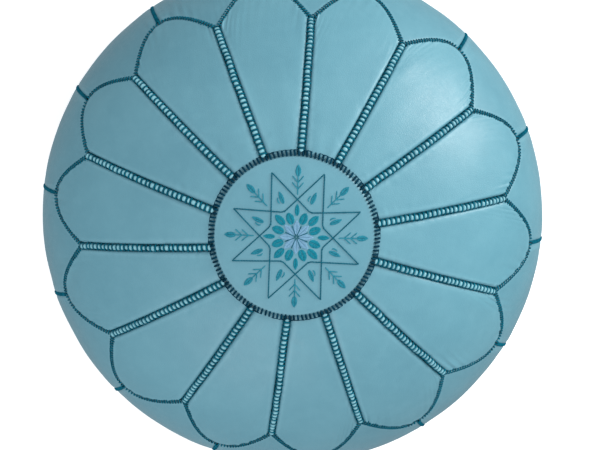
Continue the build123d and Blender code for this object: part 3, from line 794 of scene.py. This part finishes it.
def build_welts():
    """The padded strips in the radial seams, and the thread over and beside them."""
    even = wrap_places()
    pitch = even[1] - even[0]
    start, end = S_RING - WELT_LAP, S_NODE - 0.5 * MM
    s = np.linspace(start, end, int((end - start) / (0.3 * MM)))
    run = np.linspace(start + 2 * MM, S_NODE - 1 * MM, 190)
    points, crests, paths, normals, cords, cord_normals = [], [], [], [], [], []
    for k in range(PANELS):
        rng = np.random.default_rng(300 + k)
        azimuth = (k + 0.5) * PITCH
        wraps = even + 0.25 * MM * rng.normal(size=len(even))
        wobble = 0.3 * MM * smooth_noise((len(s), 1), (12, 1), rng)[:, 0]
        strip, crest = welt_strip(s, azimuth, wraps, pitch, wobble, rng)
        points.append(strip)
        crests.append(crest)
        along, turn, lift = welt_wraps(azimuth, wraps, np.interp(wraps, s, wobble), rng)
        paths.append(place(along, turn, lift))
        normals.append(outward(along, turn))
        ripple = 0.18 * MM * np.cos(2 * math.pi * (run - wraps[0]) / pitch)
        for side in (-1, 1):
            aside = side * (CORD_OFFSET - ripple) + np.interp(run, s, wobble)
            turn = azimuth + aside / radius_at(run)
            cords.append(place(run, turn, CORD_LIFT + 2 * ripple))
            cord_normals.append(outward(run, turn))
    rows, columns = crests[0].shape
    strip = grid_faces(rows, columns)
    faces = np.concatenate([strip + k * rows * columns for k in range(PANELS)])
    welts = make_mesh("welt_strips", np.concatenate(points), faces)
    crest = np.concatenate(crests)
    # Darker in the slots under the wraps and down the flanks (thread wax and painted shade), and paler on
    # each rib's crest (a painted highlight and rubbed wear).
    paint(welts, "seam", np.clip(1 - 1.5 * crest, 0, 1))
    paint(welts, "wear_and_highlight", crest)
    thicken(welts, 0.8 * MM)
    dress(welts, WELT_LEATHER, "radial_welts")
    wrapping = thread_piece("radial_wraps", np.concatenate(paths), np.concatenate(normals), WRAP_RADIUS)
    dress(wrapping, SEAM_THREAD, "radial_thread")
    edging = thread_piece("radial_edge_cords", cords, cord_normals, CORD_RADIUS, turns=45, flat=0.75)
    dress(edging, SEAM_THREAD)


def build_seam_stitches():
    """Overcast stitches along every scallop, and down the seams between side panels."""
    across = np.linspace(-PITCH / 2, PITCH / 2, 200)
    down = np.linspace(S_PEAK + 2.5 * MM, np.interp(-3 * MM, -Z[:S_FOOT_ROW], S[:S_FOOT_ROW]), 300)
    scallops, sides = [], []
    for k in range(PANELS):
        seam = seam_curve(scallop_s(across), across + k * PITCH, SCALLOP_SPACING)
        from_peak = np.linspace(-1, 1, len(seam[0]))[:, None, None]
        half = (2.3 + 1.2 * from_peak**2) * MM  # longer towards the welts
        scallops.append(cross_stitches(*seam, half, 1.2 * MM, STITCH_SINK, 0.2, jitter=0.05))
        seam = seam_curve(down, np.full_like(down, k * PITCH), SIDE_SPACING)
        sides.append(cross_stitches(*seam, 2.1 * MM, 0.6 * MM, STITCH_SINK, 0.2, steps=7, jitter=0.05))
    for kind, stitches in (("scallop", scallops), ("side_seam", sides)):
        paths, normals = (np.concatenate(part) for part in zip(*stitches))
        piece = thread_piece(kind + "_stitches", paths, normals, STITCH_RADIUS, sides=7)
        dress(piece, SEAM_THREAD, kind + "_thread")


# ---------------- the medallion

LACING_OUTSIDE = LACING_RADIUS - 1.6 * MM
LACING_STITCHES = 126
EMBROIDERY_TURN = math.radians(3)
EMBROIDERY_SHIFT = 1.8  # mm off the patch's middle, along the star's own X
FACE_OF_PATCH = MEDALLION_LIFT + 0.1 * MM  # where the embroidery lies


def medallion_lift(radius):
    """The medallion's face above the petals, with a rolled rim."""
    inside = np.clip((MEDALLION_RADIUS - radius) / (3.5 * MM), 0, 1)
    roll = 0.35 * MM * np.exp(-(((inside - 0.8) / 0.3) ** 2))
    return MEDALLION_LIFT * np.sqrt(1 - (1 - inside) ** 2) + roll


def build_medallion():
    """The round patch, a closed disc with a rolled edge."""
    radii = MEDALLION_RADIUS * np.concatenate([np.linspace(0.02, 0.9, 60), np.linspace(0.91, 1.0, 16)])
    columns = 180
    turns = np.linspace(0, 2 * math.pi, columns, endpoint=False)
    points = place(s_of_radius(radii)[:, None], turns, medallion_lift(radii)[:, None])
    faces = grid_faces(len(radii), columns, closed=True)[:, ::-1]
    pole = np.arange(columns)[None, :]
    piece = make_mesh("medallion_leather", points, faces, pole)
    from_rim = MEDALLION_RADIUS - radii
    # The rim is darkened by lacing wax and painted shade, and a band of rubbed wear and painted highlight
    # lies on the rolled rim.
    paint(piece, "seam", np.repeat(0.4 * np.exp(-from_rim / (2.5 * MM)), columns))
    paint(piece, "wear_and_highlight", np.repeat(np.exp(-(((from_rim - 3 * MM) / (2 * MM)) ** 2)), columns))
    thicken(piece, 1.4 * MM)
    dress(piece, TURQUOISE, "medallion")


def build_lacing():
    """The ring of radial stitches that binds the medallion's edge."""
    turns = np.arange(LACING_STITCHES)[:, None] * 2 * math.pi / LACING_STITCHES
    t = np.linspace(0, 1, 11)
    inner, outer = MEDALLION_RADIUS - 1.9 * MM, LACING_OUTSIDE
    radius = inner + (outer - inner) * t + 0.12 * MM * RNG.normal(size=turns.shape)
    lift = np.interp(t, [0, 0.08, 0.25, 0.55, 0.85, 1], [1.4, 2.75, 3.0, 2.2, 0.9, -1.2]) * MM
    azimuth = turns + 0.003 * RNG.normal(size=turns.shape) * t + 0.008 * t
    s = s_of_radius(radius)
    piece = thread_piece("lacing_stitches", place(s, azimuth, lift), outward(s, azimuth), 1.08 * MM)
    dress(piece, LACING_THREAD, "medallion_lacing")
    turns = np.linspace(0, 2 * math.pi, 900)
    s = s_of_radius(LACING_OUTSIDE + 0.15 * MM * np.sin(90 * turns))
    cord = thread_piece("lacing_cord", [place(s, turns, 0.1 * MM)], [outward(s, turns)], 0.55 * MM, turns=180)
    dress(cord, LACING_THREAD)


# ---------------- embroidery, in plan, in mm and degrees from the star's own middle and X

def polar(radius, degrees):
    """A plan view point on the patch."""
    return np.array([radius * math.cos(math.radians(degrees)), radius * math.sin(math.radians(degrees))])


def stitch_path(start, end, height, steps=7):
    """A stitch on the patch between two plan points in mm, as (steps, 3) of plan and lift."""
    t = np.linspace(0, 1, steps)[:, None]
    lift = height * hump(2 * t - 1, 2.2) - 0.25 * height
    return np.hstack([start * (1 - t) + end * t, lift])


def stem_stitches(points, length=4.0, step=2.6, slant=0.22, height=0.55):
    """A line of overlapping stitches along a polyline, each one a little askew, as a rope lies."""
    points = np.asarray(points, float)
    reach = np.concatenate([[0], np.cumsum(np.linalg.norm(np.diff(points, axis=0), axis=1))])
    starts = np.linspace(0, reach[-1] - length, max(2, int(round((reach[-1] - length) / step)) + 1))

    def along(distance):
        return np.array([np.interp(distance, reach, points[:, 0]), np.interp(distance, reach, points[:, 1])])

    stitches = []
    for start in starts:
        a, b = along(start), along(start + length)
        aside = np.array([a[1] - b[1], b[0] - a[0]]) / max(np.linalg.norm(b - a), 1e-6) * slant
        stitches.append(stitch_path(a - aside, b + aside, height))
    return stitches


def satin_leaf(base, degrees, length, width, pitch=0.62, fullness=0.8, height=0.5):
    """A pointed leaf of slanting satin stitches, laid from its midrib out to each side."""
    forward = polar(1, degrees)
    left = np.array([-forward[1], forward[0]])
    stitches = []
    for t in np.arange(0.04, 0.93, pitch / length):
        for side in (-1, 1):
            tip = min(t + 0.13, 1.0)
            half = width / 2 * (1 - (2 * tip - 1) ** 2) ** fullness
            rib = base + forward * length * t + left * side * 0.05
            edge = base + forward * length * tip + left * side * max(half, 0.25)
            stitches.append(stitch_path(rib, edge + RNG.normal(size=2) * 0.08, height))
    return stitches


def sew(name, stitches, radius, material, node=None, lift=0.0):
    """Lays plan view stitches on the patch's face."""
    plan = np.array(stitches)
    x, y = plan[..., 0] + EMBROIDERY_SHIFT, plan[..., 1]
    radii = np.hypot(x, y) * MM
    azimuth = np.arctan2(y, x) + EMBROIDERY_TURN
    s = s_of_radius(radii)
    paths = place(s, azimuth, FACE_OF_PATCH + (lift + plan[..., 2]) * MM)
    piece = thread_piece(name, paths, outward(s, azimuth), radius, sides=6, turns=1.5)
    dress(piece, material, node)


def star_bend(middle):
    """Where a strand of the star bends; the bends near the Y axis are turned 6 degrees away from it."""
    near_y_axis = abs(math.cos(math.radians(middle))) < 0.5
    return polar(26, middle - near_y_axis * math.copysign(6, math.sin(math.radians(2 * middle))))


def build_embroidery():
    """The star, the sprigs, the leaves and the flower, stitch by stitch."""
    eighths = [45 * k for k in range(8)]
    star, stems, sprigs, leaves, petals, veins = [], [], [], [], [], []
    for turn in eighths:
        tip = turn + 22.5
        star += stem_stitches([polar(64, tip), star_bend(tip + 45), polar(64, tip + 90)])
        stems += stem_stitches([polar(39.5, turn), polar(57, turn)], 3.4, 2.2, 0.1)
        for root in (44.5, 50.5):
            for side in (-40, 40):
                start = polar(root, turn)
                stems += stem_stitches([start, start + polar(8.2, turn + side)], 4.8, 3.4, 0.1)
        sprigs += satin_leaf(polar(56, turn), turn, 11, 5.4)
        sprigs += satin_leaf(polar(33, tip), tip, 12, 4.2)
        bud = polar(35, tip + 5.5)
        stems += stem_stitches([bud, bud + polar(3, tip + 25), bud + polar(5.5, tip - 2)], 2.8, 1.8, 0.05)
        petals += satin_leaf(polar(2.0, turn), turn, 13.8, 6.4, fullness=0.9)
        veins += stem_stitches([polar(0.8, tip), polar(11.5, tip)], 4.0, 2.4, 0.05, 0.6)
    for quarter in (0, 90, 180, 270):
        for side in (-19.5, 19.5):
            leaves += satin_leaf(polar(12.2, quarter + side), quarter + 1.1 * side, 11.8, 7.6, fullness=0.6)
        leaves += satin_leaf(polar(15.6, quarter + 45), quarter + 45, 12.6, 7.0, fullness=0.65)
        leaves += satin_leaf(polar(19.6, quarter), quarter, 11, 4.4)
    sew("star_strands", star, 0.58 * MM, DARK_SILK, "embroidery_star", 0.15)
    sew("sprig_stems", stems, 0.58 * MM, SPRIG_SILK)
    sew("sprig_stitches", sprigs, 0.46 * MM, SPRIG_SILK, "embroidery_sprigs")
    sew("leaf_stitches", leaves, 0.44 * MM, TEAL_SILK, "embroidery_leaves")
    sew("flower_stitches", petals, 0.42 * MM, PALE_SILK, "embroidery_flower")
    sew("flower_veins", veins, 0.42 * MM, DARK_SILK, lift=0.3)


# ---------------- underneath

ZIP_SLOT_HALF = 6.5 * MM
ZIP_SLOT_END = 148 * MM
ZIP_SLOT_STRAIGHT = ZIP_SLOT_END - ZIP_SLOT_HALF  # half the length of the slot's straight sides
LOCKSTITCH_OFFSET = ZIP_SLOT_HALF + 2.8 * MM
DOWN = np.array([0.0, 0.0, -1.0])


def stack_xyz(x, y, z):
    """Points, from arrays of each coordinate."""
    return np.stack(np.broadcast_arrays(x, y, z), -1)


def underside(radius):
    """Height of the base's lower face: a raised middle, a slope to the seam, and the turned-under side."""
    radii = [0, RECESS_RADIUS, BASE_SEAM_RADIUS, TURN_UP_RADIUS]
    return np.interp(radius, radii, [BASE_Z, BASE_Z, BASE_SEAM_HEIGHT, 0])


def build_base():
    """The two half-moons, each with half of the zip's slot in its straight edge."""
    rows, columns = 44, 260
    for side, half in ((1, "back"), (-1, "front")):
        rng = np.random.default_rng(50 + side)
        x = (BASE_SEAM_RADIUS - 0.2 * MM) * np.sin(np.linspace(-1, 1, columns) * math.radians(89.6))[None, :]
        corner = np.clip(np.abs(x) - ZIP_SLOT_STRAIGHT, 0, ZIP_SLOT_HALF)
        inner = np.maximum(np.sqrt(np.maximum(ZIP_SLOT_HALF**2 - corner**2, 0)), 0.25 * MM)
        outer = np.maximum(np.sqrt((BASE_SEAM_RADIUS - 0.1 * MM) ** 2 - x**2), 0.3 * MM)
        y = inner + graded(rows, 0.7)[:, None] * (outer - inner)
        radius = np.hypot(x, y)
        edge = np.minimum(y - inner, BASE_SEAM_RADIUS - radius)
        bulge = 1.4 * MM * np.clip((y - inner) / (40 * MM), 0, 1)
        bulge = bulge * np.clip((RECESS_RADIUS - radius) / (40 * MM), 0, 1)
        wrinkle = 0.35 * MM * smooth_noise(y.shape, (6, 26), rng) * np.clip(edge / (12 * MM), 0, 1)
        z = underside(radius) - bulge + wrinkle + 1.2 * MM * np.exp(-((edge / (1.6 * MM)) ** 2))
        points = stack_xyz(x, side * y, np.maximum(z, 1.2 * MM))
        piece = make_mesh("base_leather_" + half, points, grid_faces(rows, columns)[:, ::-side])
        # Darker by the seam and the zip's slot (thread wax and painted shade), with a band of rubbed wear and
        # painted highlight a little further in.
        paint(piece, "seam", np.exp(-((edge / (2.4 * MM)) ** 2)))
        paint(piece, "wear_and_highlight", np.exp(-(((edge - 5 * MM) / (4 * MM)) ** 2)))
        thicken(piece, 1.4 * MM)
        dress(piece, BASE_LEATHER, "base_half_" + half)


def build_base_stitches():
    """Stitches over the base seam, and the whipping past the zip's ends."""
    count = 300
    turns = (np.arange(count) * 2 * math.pi / count)[:, None] + 0.002 * RNG.normal(size=(count, 1))
    t = np.linspace(-1, 1, 9)
    radius = BASE_SEAM_RADIUS + 2.5 * MM * t
    paths = [round_axis(radius, turns + 0.004 * t, underside(radius) + (0.9 - 1.2 * hump(t)) * MM)]
    for side in (-1, 1):
        x = side * np.arange(ZIP_SLOT_END + 5 * MM, BASE_SEAM_RADIUS - 4 * MM, 2.6 * MM)[:, None]
        z = underside(np.abs(x)) + (1.0 - 1.4 * hump(t)) * MM
        paths.append(stack_xyz(x + 0.5 * MM * t, 2.2 * MM * t, z))
    paths = np.concatenate(paths)
    piece = thread_piece("base_stitches", paths, np.broadcast_to(DOWN, paths.shape), 0.58 * MM)
    dress(piece, SEAM_THREAD, "base_thread")


def build_lockstitch():
    """The stitches that hold the zip, once round its slot."""
    straight, offset = ZIP_SLOT_STRAIGHT, LOCKSTITCH_OFFSET
    lap = 4 * straight + 2 * math.pi * offset
    count = int(lap / (3.4 * MM))
    where = ((np.arange(count)[:, None] + np.linspace(0.06, 0.94, 7)) * lap / count) % lap
    corners = np.cumsum([0, 2 * straight, math.pi * offset, 2 * straight, math.pi * offset])
    bend = np.interp(where, corners, [0, 0, math.pi, math.pi, 2 * math.pi])
    x = np.interp(where, corners, straight * np.array([-1, 1, 1, -1, -1])) + offset * np.sin(bend)
    z = BASE_Z + (0.5 - 0.75 * hump(np.linspace(-1, 1, 7))) * MM
    paths = stack_xyz(x, -offset * np.cos(bend), z)
    piece = thread_piece("zip_lockstitch", paths, np.broadcast_to(DOWN, paths.shape), 0.4 * MM, sides=6)
    dress(piece, SEAM_THREAD, "zip_stitching")


def build_tapes():
    """The zip's tapes: herringbone ribs and a little ripple."""
    rows, columns = 22, 620
    chevron_width = 3.2 * MM
    for side, node in ((1, "zip_tape_back"), (-1, "zip_tape_front")):
        low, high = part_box(node)
        inner, outer = (low.y, high.y) if side > 0 else (-high.y, -low.y)
        x = np.linspace(low.x, high.x, columns)[None, :]
        y = np.linspace(inner, outer, rows)[:, None]
        chevron = np.abs((y - inner) / chevron_width % 2 - 1) * chevron_width
        ribs = 0.07 * MM * np.sin(2 * math.pi * (x + chevron) / (1.9 * MM))
        ripple = 0.12 * MM * np.sin(x / (17 * MM) + side) * (y - inner) / (outer - inner)
        points = stack_xyz(x, side * y, low.z + 0.15 * MM + ribs + ripple)
        piece = make_mesh(node + "_weave", points, grid_faces(rows, columns)[:, ::-side])
        thicken(piece, 0.45 * MM)
        dress(piece, TAPE, node)


def build_inside():
    """The cotton liner and the wadding in it, both closed bags a little smaller than the cover."""
    rows, under, columns = 120, 30, 220  # under: the rows on the underside
    turns = np.linspace(0, 2 * math.pi, columns, endpoint=False)
    for name, node, depth, waves, slot, material in (
        ("liner_bag", "inner_liner", 6.0 * MM, 0.5 * MM, "liner_cotton", COTTON),
        ("wadding", "filling", 8.6 * MM, 0.8 * MM, "stuffing", WADDING),
    ):
        rng = np.random.default_rng(len(name))
        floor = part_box(node)[0].z
        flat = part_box("zip_slider")[1].z + depth / 3
        s = np.linspace(4 * MM, S_FOOT, rows - under)
        r = radius_at(s) - depth * np.interp(s, S, NR)
        z = np.interp(s, S, Z) - depth * np.interp(s, S, NZ)
        t, corners = np.linspace(0, 3, under), [0, 1, 2, 3]
        r = np.append(r, np.interp(t, corners, [r[-1], TURN_UP_RADIUS + 3 * MM, RECESS_RADIUS, 4 * MM]))
        z = np.append(z, np.interp(t, corners, [z[-1], z[-1], flat, flat]))
        z = np.maximum(z, floor)
        noise = smooth_noise((rows, columns + 1), (26, 30), rng)[:, :columns]
        blend = np.minimum(np.arange(columns) / 20, 1)  # so that the noise meets itself round the bag
        noise = noise * blend + noise[:, :1] * (1 - blend)
        inward = waves * np.clip(noise, -1, 2.5)
        r = np.maximum(r[:, None] - inward, 2 * MM)
        z = z[:, None] - np.where(np.arange(rows)[:, None] < rows - under, inward * 0.6, -np.abs(inward))
        ends = np.stack([np.arange(columns), (rows - 1) * columns + np.arange(columns)[::-1]])
        faces = grid_faces(rows, columns, closed=True)[:, ::-1]
        piece = make_mesh(name, round_axis(r, turns, z), faces, ends)
        dress(piece, material, node)


# ---------------- the setting

def towards(azimuth, elevation):
    """A unit vector that points that way, in degrees."""
    a, e = math.radians(azimuth), math.radians(elevation)
    return Vector((math.cos(a) * math.cos(e), math.sin(a) * math.cos(e), math.sin(e)))


def build_floor():
    """A plain pale floor, a hair under the pouf."""
    bpy.ops.mesh.primitive_plane_add(size=12, location=(0, 0, -0.2 * MM))
    floor = bpy.context.object
    floor.name = "floor"
    n = Nodes("pale_floor")
    grain = n.bump(n.noise(30.0), 0.02, 1 * MM)
    n.finish((0.95, 0.95, 0.95, 1), 0.8, grain, Emission_Color=(1, 1, 1, 1), Emission_Strength=0.4)
    # Only the camera sees it, and only from above, so the underside is lit by the sky and can be looked at.
    seen = n.add("ShaderNodeLightPath").outputs["Is Camera Ray"]
    from_below = n.add("ShaderNodeNewGeometry").outputs["Backfacing"]
    shown = n.times(seen, n.math("SUBTRACT", 1.0, from_below))
    clear = n.add("ShaderNodeBsdfTransparent").outputs[0]
    surface = n.add("ShaderNodeMixShader", {0: shown, 1: clear, 2: n.shader.outputs[0]}).outputs[0]
    n.link(surface, n.tree.nodes["Material Output"].inputs["Surface"])
    floor.data.materials.append(n.material)


def build_sky():
    """A plain pale studio, brighter overhead, with a dark wall at +X."""
    world = bpy.data.worlds.new("studio")
    bpy.context.scene.world = world
    world.use_nodes = True
    background = world.node_tree.nodes["Background"]
    sky = Nodes.for_tree(world.node_tree)
    way = sky.add("ShaderNodeTexCoord").outputs["Generated"]
    way = sky.add("ShaderNodeSeparateXYZ", {"Vector": way}).outputs
    overhead = sky.spread(way["Z"], -0.2, 0.9, 0.42, 0.89)
    wall = sky.spread(way["X"], 0.85, 1.0, 1.0, 0.0)
    background.inputs["Color"].default_value = (0.95, 0.97, 1.0, 1)
    sky.link(sky.times(overhead, wall), background.inputs["Strength"])


def soft_box(name, azimuth, elevation, distance, size, power, colour=(1, 1, 1)):
    """A round area light that faces the origin, in degrees, metres and watts."""
    light = bpy.data.lights.new(name, "AREA")
    light.shape, light.size, light.energy, light.color = "DISK", size, power, colour
    lamp = link_new(name, light)
    lamp.location = towards(azimuth, elevation) * distance
    lamp.rotation_mode = "QUATERNION"
    lamp.rotation_quaternion = towards(azimuth, elevation).to_track_quat("Z", "Y")


def build_camera():
    """Almost straight above the pouf, tilted a little, as in the photo."""
    camera = bpy.data.cameras.new("camera")
    camera.lens, camera.sensor_width = 91.9, 36
    camera.shift_x, camera.shift_y = 0.0121, -0.0146
    viewer = link_new("camera", camera)
    tilt = 6.6
    back = towards(99.3, 90 - tilt)
    right = towards(94.8, 0).cross(back).normalized()
    turn = Matrix((right, back.cross(right), back)).transposed()
    viewer.matrix_world = Matrix.Translation(Vector((0, 0, 0.15)) + back * 1.6) @ turn.to_4x4()
    bpy.context.scene.camera = viewer
    bpy.context.scene.view_settings.view_transform = "Standard"


def dress_brass():
    """The zip's teeth, stops, slider and pull are shown as they are in the CAD."""
    for node in ("zip_teeth_back", "zip_teeth_front", "zip_stops", "zip_slider", "zip_pull"):
        for material_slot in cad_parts[node].material_slots:
            material_slot.material = BRASS


build_leather()
build_welts()
build_seam_stitches()
build_medallion()
build_lacing()
build_embroidery()
build_base()
build_base_stitches()
build_lockstitch()
build_tapes()
build_inside()
dress_brass()
build_floor()
build_sky()
soft_box("key", 36, 23, 2.2, 1.2, 38, (1, 0.99, 0.96))
soft_box("fill", 255, 45, 2.6, 1.6, 13)
build_camera()
